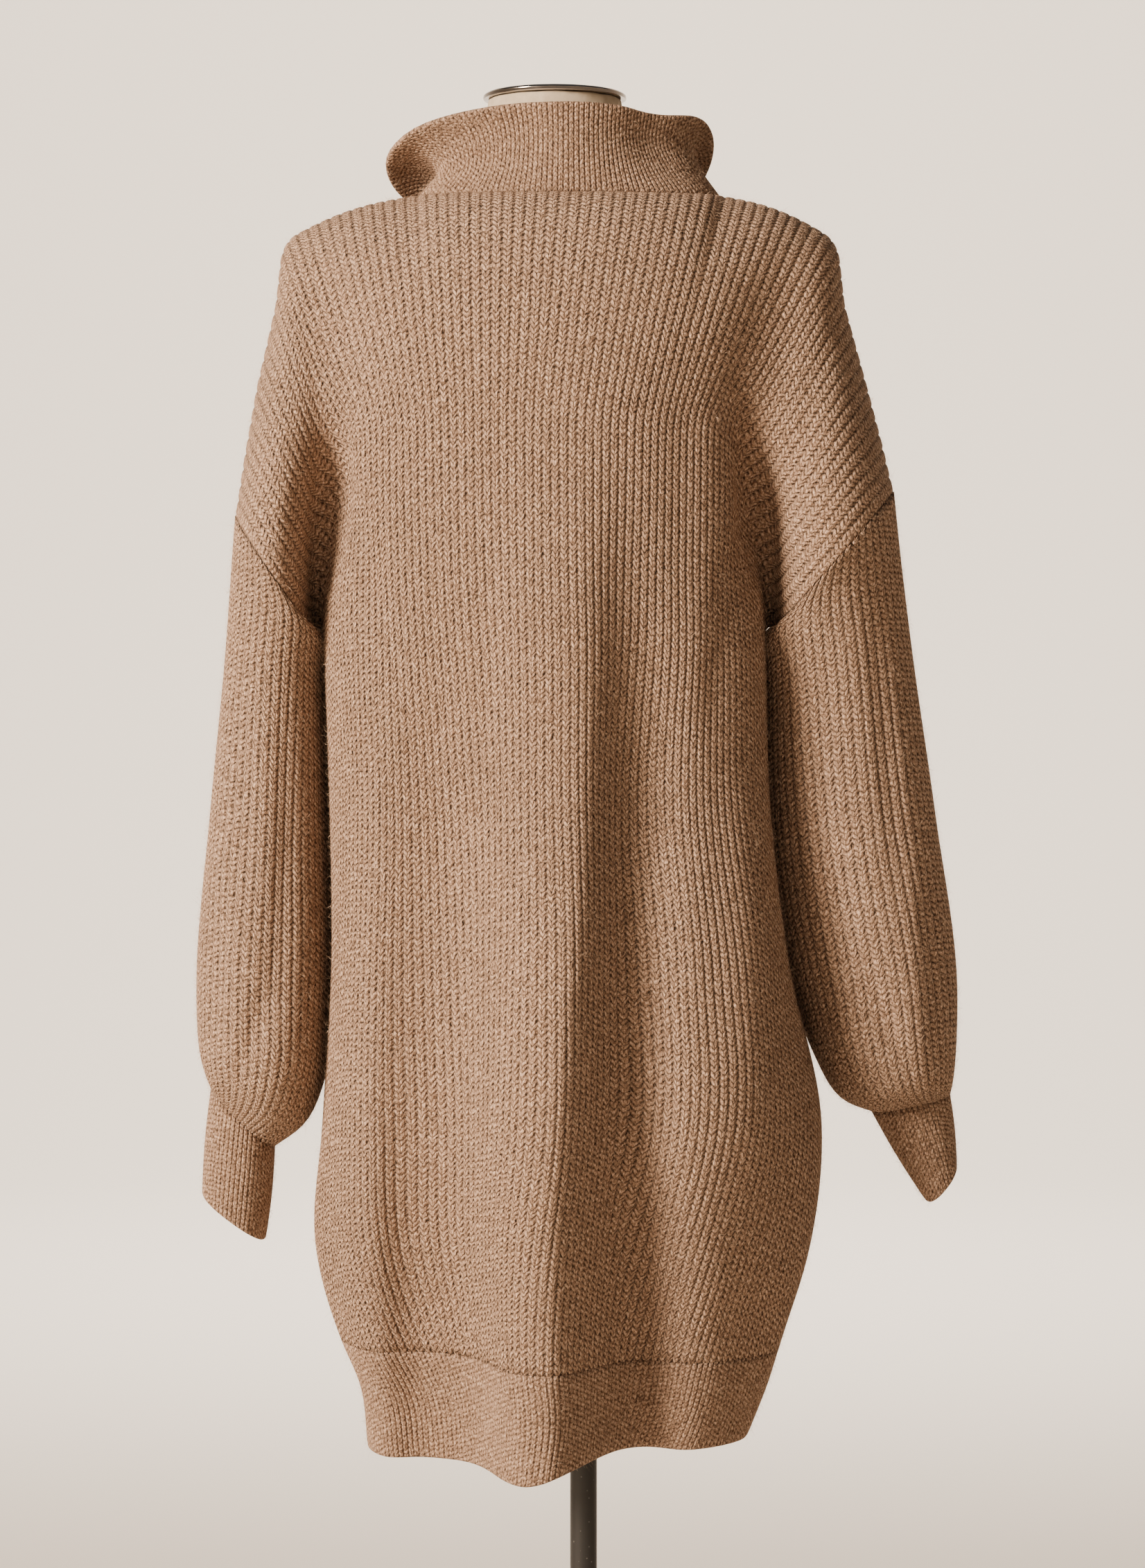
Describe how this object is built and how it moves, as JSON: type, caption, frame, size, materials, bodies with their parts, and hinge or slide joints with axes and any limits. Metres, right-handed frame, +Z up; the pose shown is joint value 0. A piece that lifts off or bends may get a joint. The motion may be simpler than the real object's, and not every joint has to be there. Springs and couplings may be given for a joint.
{
  "type": "sweater dress on dress form",
  "caption": "Oversized rib-knit sweater dress with dropped shoulders, balloon sleeves, ribbed cuffs and hem and an open collar, worn by a limbless dress form on a pole and round base.",
  "frame": {"origin": "on the pole's axis, on the underside of the round base", "axes": "+Z up along the pole; the garment's front faces -Y; the wearer's left is +X"},
  "size_m": [0.543, 0.36, 1.4677],
  "materials": {
    "rib_knit": "matte, fuzzy half-cardigan rib",
    "fine_rib": "matte, fuzzy fine rib",
    "linen": "plain woven linen",
    "chrome": "polished",
    "black_steel": "satin black"
  },
  "bodies": {
    "root": {"back_panel": "rib_knit", "front_panel": "rib_knit", "left_sleeve": "rib_knit", "right_sleeve": "rib_knit", "left_cuff": "fine_rib", "right_cuff": "fine_rib", "back_hem_band": "fine_rib", "front_hem_band": "fine_rib", "collar": "fine_rib", "form_body": "linen", "neck_cap": "chrome", "pole": "black_steel", "base": "black_steel"}
  },
  "joints": []
}
